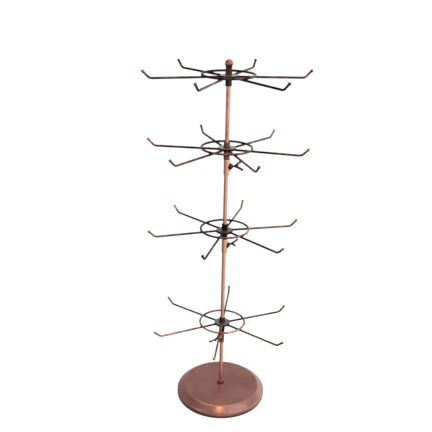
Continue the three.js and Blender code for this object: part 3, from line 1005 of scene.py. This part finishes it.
def build_weld_nut(clamp):
    """Hexagon nut, turned down to a small round face and hollowed at its foot to sit on the collar.

    Returns the hexagon's half width across its flats."""
    node = f"{clamp.tier}_collar_nut"
    pts = clamp.local_points(node)
    from_axis = np.hypot(pts[:, 1], pts[:, 2])
    face_x = pts[:, 0].max()
    face_r = from_axis[pts[:, 0] > face_x - SAME].max()
    foot_r = from_axis.max()
    flat = foot_r * math.cos(math.pi / 6)
    foot_x = clamp.offset + clamp.outer
    sunk_x = foot_x - 1.2 * MM
    outline = (
        (sunk_x, foot_r + 1.2 * MM),
        (foot_x + 0.1 * MM, foot_r),
        (face_x - 2.6 * MM, face_r + 1.35 * MM),
        (face_x - 0.9 * MM, face_r + 0.5 * MM),
        (face_x - 0.25 * MM, face_r + 0.12 * MM),
        (face_x, face_r - 0.15 * MM),
        (face_x, NUT_BORE_MOUTH),
        (face_x - 0.3 * MM, NUT_BORE),
        (sunk_x, NUT_BORE),
    )
    sides = 48
    verts = []
    for x, limit in outline:
        for k in range(sides):
            a = TAU * k / sides
            r = min(limit, hexagon_radius(flat, a) * 1.02)
            verts.append(clamp.place @ Vector((x, r * math.cos(a), r * math.sin(a))))
    nut = mesh_object(f"{clamp.tier}_weld_nut", verts, skin(len(outline), sides, closed=True))
    saddle_r = clamp.outer + 0.02 * MM
    ends = clamp.height - 20 * MM, clamp.height + 20 * MM
    saddle = [(0, ends[0]), (saddle_r, ends[0]), (saddle_r, ends[1]), (0, ends[1])]
    carved(nut, clamp.lathe("saddle", saddle, 96, closed=False))
    crisp(nut, 30)

    def rule(p):
        # painted highlight: the nut is painted lighter towards its face
        wear_and_highlight = 0.5 * max(0.0, ((clamp.local @ p).x - face_x + 1.6 * MM) / (1.6 * MM))
        return NUT_PATINA[clamp.tier] + 0.25 * wobble(p, 5, 9.0) - wear_and_highlight

    paint(nut, rule)
    piece(nut, [node], clamp.body, hub_mat)
    return flat


def build_nut_weld(clamp, flat):
    """The fillet bead where the nut meets the collar."""
    steps, around = 120, 10
    outer = clamp.outer
    verts = []
    for i in range(steps):
        a = TAU * i / steps
        r = hexagon_radius(flat, a) + 0.15 * MM
        y = max(-outer * 0.98, min(outer * 0.98, r * math.cos(a)))
        z = r * math.sin(a)
        rise = math.sqrt(outer * outer - y * y)
        out = Vector((rise, y, 0)).normalized()
        radial = Vector((0, math.cos(a), math.sin(a)))
        radial = (radial - out * radial.dot(out)).normalized()
        uneven = noise.noise(Vector((y * 700, z * 700, 3)))
        size = (0.62 + 0.12 * math.cos(a * 17) + 0.1 * uneven) * MM
        middle = Vector((clamp.offset + rise, y, z))
        for k in range(around):
            b = TAU * k / around
            verts.append(clamp.place @ (middle + (out * math.sin(b) + radial * math.cos(b)) * size))
    bead = mesh_object(f"{clamp.tier}_nut_weld", verts, skin(steps, around, closed=True))
    piece(bead, [], clamp.body, weld_mat)


def wing(side):
    """One ear of a wing screw: a bar that narrows and then ends in a rounded, slightly thicker knob."""
    length, end_half, thick = WING_LENGTH, WING_END_HALF, WING_THICKNESS
    waist = end_half * 0.78
    steps, knob_steps, around, squareness = 26, 6, 20, 0.62
    sections = []
    for i in range(steps + 1):
        t = i / steps
        x = length * t
        half = WING_ROOT_HALF + (waist - WING_ROOT_HALF) * min(1, t * 1.25)
        if abs(x - length) < end_half:
            half = max(half, end_half * math.sqrt(1 - ((x - length) / end_half) ** 2))
        near = max(0.0, 1 - abs(x - length) / (end_half * 1.6))
        sections.append((x, half, thick * (0.5 - 0.06 * math.sin(math.pi * t)) + KNOB_SWELL * near))
    for k in range(1, knob_steps + 1):
        a = QUARTER * k / knob_steps
        half = max(end_half * math.cos(a), 0.05 * MM)
        half_thick = (thick * 0.5 + KNOB_SWELL) * max(0.25, math.cos(a * 0.85))
        sections.append((length + end_half * math.sin(a), half, half_thick))
    verts = []
    for x, half, half_thick in sections:
        for k in range(around):
            c, s = math.cos(TAU * k / around), math.sin(TAU * k / around)
            w, h = (math.copysign(abs(v) ** squareness, v) for v in (c, s))
            verts.append(Vector((x, half_thick * h, half * w)))
    rows = len(sections)
    lean = Matrix.Translation(Vector((WING_ROOT, 0, 0))) @ Matrix.Rotation(-side * WING_LEAN, 4, "Y")
    return placed((verts, skin(rows, around) + caps(rows, around)), lean)


def screw_thread(name, spin, shank_r, x0, x1):
    """The shank from its tip at x0 up to x1, with a rolled thread that fades out at the tip."""
    around, rows_per_pitch = 20, 8
    steps = int((x1 - x0) / THREAD_PITCH * rows_per_pitch)
    verts = []
    for i in range(steps + 1):
        x = x0 + (x1 - x0) * i / steps
        taper = 0.35 * MM * max(0.0, 1 - (x - x0) / (0.5 * MM))
        for k in range(around):
            a = TAU * k / around
            phase = (x / THREAD_PITCH - a / TAU) % 1
            r = shank_r - THREAD_DEPTH * abs(2 * phase - 1) - taper
            verts.append(spin @ Vector((x, r * math.cos(a), r * math.sin(a))))
    return mesh_object(name, verts, skin(steps + 1, around) + caps(steps + 1, around))


def build_wing_screw(clamp):
    """Threaded shank, swelling neck and two ears."""
    node = f"{clamp.tier}_wing_screw"
    pts = clamp.local_points(node)
    tip_x, end_x = pts[:, 0].min(), pts[:, 0].max()
    shank_r = np.hypot(*pts[pts[:, 0] < tip_x + 0.1 * MM][:, 1:].T).max()
    far = pts[pts[:, 0] > end_x - 3 * MM][:, 1:]
    knob = far[np.hypot(far[:, 0], far[:, 1]).argmax()]
    spin = clamp.place @ Matrix.Rotation(math.atan2(-knob[0], knob[1]), 4, "X")
    neck_r = shank_r * 1.25
    parts = [
        cone(shank_r * 1.02, neck_r, WING_ROOT - 2.6 * MM, WING_ROOT - 1.2 * MM),
        cone(neck_r, 1.95 * MM, WING_ROOT - 1.3 * MM, WING_ROOT + 0.3 * MM),
        ellipsoid((WING_ROOT + 0.3 * MM, 0, 0), (1.9 * MM, 1.7 * MM, 2.1 * MM)),
        wing(1),
        wing(-1),
    ]
    parts = [placed(part, spin) for part in parts]
    head = remeshed(joined(f"{clamp.tier}_wing_head", parts), 0.19 * MM, 3)
    shank = screw_thread(f"{clamp.tier}_screw_thread", spin, shank_r, tip_x, WING_ROOT - 1.8 * MM)
    back = spin.inverted()

    def rule(p):
        q = back @ p
        apex = math.exp(-(((q.x - WING_ROOT) / (2.4 * MM)) ** 2) - ((q.z / (2.6 * MM)) ** 2))
        wear_and_highlight = max(0.0, (q.x - WING_ROOT) / WING_LENGTH)
        return SCREW_PATINA[clamp.tier] + 0.65 * apex - 0.25 * wear_and_highlight + 0.25 * wobble(p, 5, 7.0)

    paint(head, rule)
    paint(shank, lambda p: 0.75)
    piece(head, [node], f"{clamp.tier}_screw", screw_mat)
    piece(shank, [], f"{clamp.tier}_screw", screw_mat)


for tier_name in CLAMPED_TIERS:
    this_clamp = Clamp(tier_name)
    build_collar(this_clamp)
    nut_flat = build_weld_nut(this_clamp)
    build_nut_weld(this_clamp, nut_flat)
    build_wing_screw(this_clamp)

# ---- Floor, light and camera ----

FLOOR_HALF = 60
FLOOR_GLOW = 0.93
ROOM_LEVEL = 0.85

scene = bpy.context.scene
scene.view_settings.view_transform = "Standard"


def build_floor():
    """A pale floor that glows like the white backdrop but sends no light back to the rack."""
    corners = [(x * FLOOR_HALF, y * FLOOR_HALF, 0) for x, y in ((-1, -1), (1, -1), (1, 1), (-1, 1))]
    floor = mesh_object("studio_floor", corners, [[0, 1, 2, 3]], smooth=False)
    g = Graph("pale_floor")
    g.finish(g.mix(g.noise(900, detail=2), (0.14, 0.14, 0.14, 1), (0.16, 0.16, 0.16, 1)), 0.9, 0.0)
    glow = g.node("ShaderNodeEmission")
    glow.inputs["Color"].default_value = (1, 1, 1, 1)
    glow.inputs["Strength"].default_value = FLOOR_GLOW
    both = g.node("ShaderNodeAddShader")
    g.link(g.bsdf.outputs[0], both.inputs[0])
    g.link(glow.outputs[0], both.inputs[1])
    g.link(both.outputs[0], g.out.inputs[0])
    floor.data.materials.append(g.mat)
    floor.visible_glossy = False
    floor.visible_diffuse = False


def build_world():
    """White to the camera, and to the rack a soft room of uneven brightness."""
    scene.world = bpy.data.worlds.new("studio")
    w = Nodes(scene.world)
    direction = w.node("ShaderNodeSeparateXYZ")
    w.link(w.node("ShaderNodeTexCoord").outputs["Generated"], direction.inputs[0])
    dx, _, dz = direction.outputs
    below = w.ramp(dz, -0.95, -0.35, 0.03, 0.68)
    horizon = w.ramp(dz, -0.05, 0.15, 1.0, 1.47)
    overhead = w.ramp(dz, 0.24, 0.56, 1.9, 0.52)
    sideways = w.ramp(dx, -0.9, 0.55, 0.24, 1.0)
    strength = w.math("MULTIPLY", w.math("MULTIPLY", w.math("MULTIPLY", below, horizon), overhead), sideways)
    room = w.node("ShaderNodeBackground")
    room.inputs["Color"].default_value = (1.0, 0.97, 0.95, 1)
    w.link(w.math("MULTIPLY", strength, ROOM_LEVEL), room.inputs["Strength"])
    white = w.node("ShaderNodeBackground")
    white.inputs["Color"].default_value = (1, 1, 1, 1)
    pick = w.node("ShaderNodeMixShader")
    w.link(w.node("ShaderNodeLightPath").outputs["Is Camera Ray"], pick.inputs[0])
    w.link(room.outputs[0], pick.inputs[1])
    w.link(white.outputs[0], pick.inputs[2])
    w.link(pick.outputs[0], w.node("ShaderNodeOutputWorld").inputs[0])


def softbox(name, place, target, size, power, color=(1, 1, 1)):
    light = bpy.data.lights.new(name, "AREA")
    light.shape = "RECTANGLE"
    light.size, light.size_y = size
    light.energy = power
    light.color = color
    obj = bpy.data.objects.new(name, light)
    scene.collection.objects.link(obj)
    obj.location = place
    obj.rotation_euler = (Vector(target) - Vector(place)).to_track_quat("-Z", "Y").to_euler()


build_floor()
build_world()
softbox("key", (1.3, -0.9, 1.3), (0, 0, 0.25), (1.4, 1.6), 13, (1, 0.98, 0.96))
softbox("top", (0.0, 0.3, 1.9), (0, 0, 0.2), (1.8, 1.4), 15)
softbox("fill", (-1.3, -0.9, 0.8), (0, 0, 0.25), (0.7, 0.9), 5)
# the warm glare on the front of the base
softbox("warm_lamp", (-0.01, -0.56, 1.12), (0, -0.07, 0.02), (0.09, 0.09), 1.5, (1, 0.66, 0.28))

CAMERA_HOME = Vector((0, -0.8721, 0.6663))
CAMERA_TILT_DOWN = 28.23
CAMERA_ROLL = 1.548
LENS, SENSOR = 51.3, 36
SHIFT_RIGHT, SHIFT_UP = -0.016042, 0.175972

camera_data = bpy.data.cameras.new("camera")
camera = bpy.data.objects.new("camera", camera_data)
scene.collection.objects.link(camera)
camera.location = CAMERA_HOME
tilt = Matrix.Rotation(math.radians(90 - CAMERA_TILT_DOWN), 4, "X")
camera.rotation_euler = (tilt @ Matrix.Rotation(math.radians(CAMERA_ROLL), 4, "Z")).to_euler()
camera_data.sensor_width = SENSOR
camera_data.lens = LENS
camera_data.clip_start = 0.01
camera_data.clip_end = 200
scene.camera = camera

home = bpy.data.objects.new("camera_home", None)
scene.collection.objects.link(home)
home.location = CAMERA_HOME


def shift_at_home(path, value):
    """Lens shift that holds while the camera stands at its home place and is zero anywhere else."""
    curve = camera_data.driver_add(path)
    curve.driver.type = "SUM"
    variable = curve.driver.variables.new()
    variable.type = "LOC_DIFF"
    variable.targets[0].id = camera
    variable.targets[1].id = home
    for modifier in list(curve.modifiers):
        curve.modifiers.remove(modifier)
    for key in list(curve.keyframe_points):
        curve.keyframe_points.remove(key)
    for distance, v in ((0.0, value), (0.1, 0.0), (1.0, 0.0)):
        curve.keyframe_points.insert(distance, v).interpolation = "LINEAR"
    curve.extrapolation = "CONSTANT"


shift_at_home("shift_x", SHIFT_RIGHT)
shift_at_home("shift_y", SHIFT_UP)

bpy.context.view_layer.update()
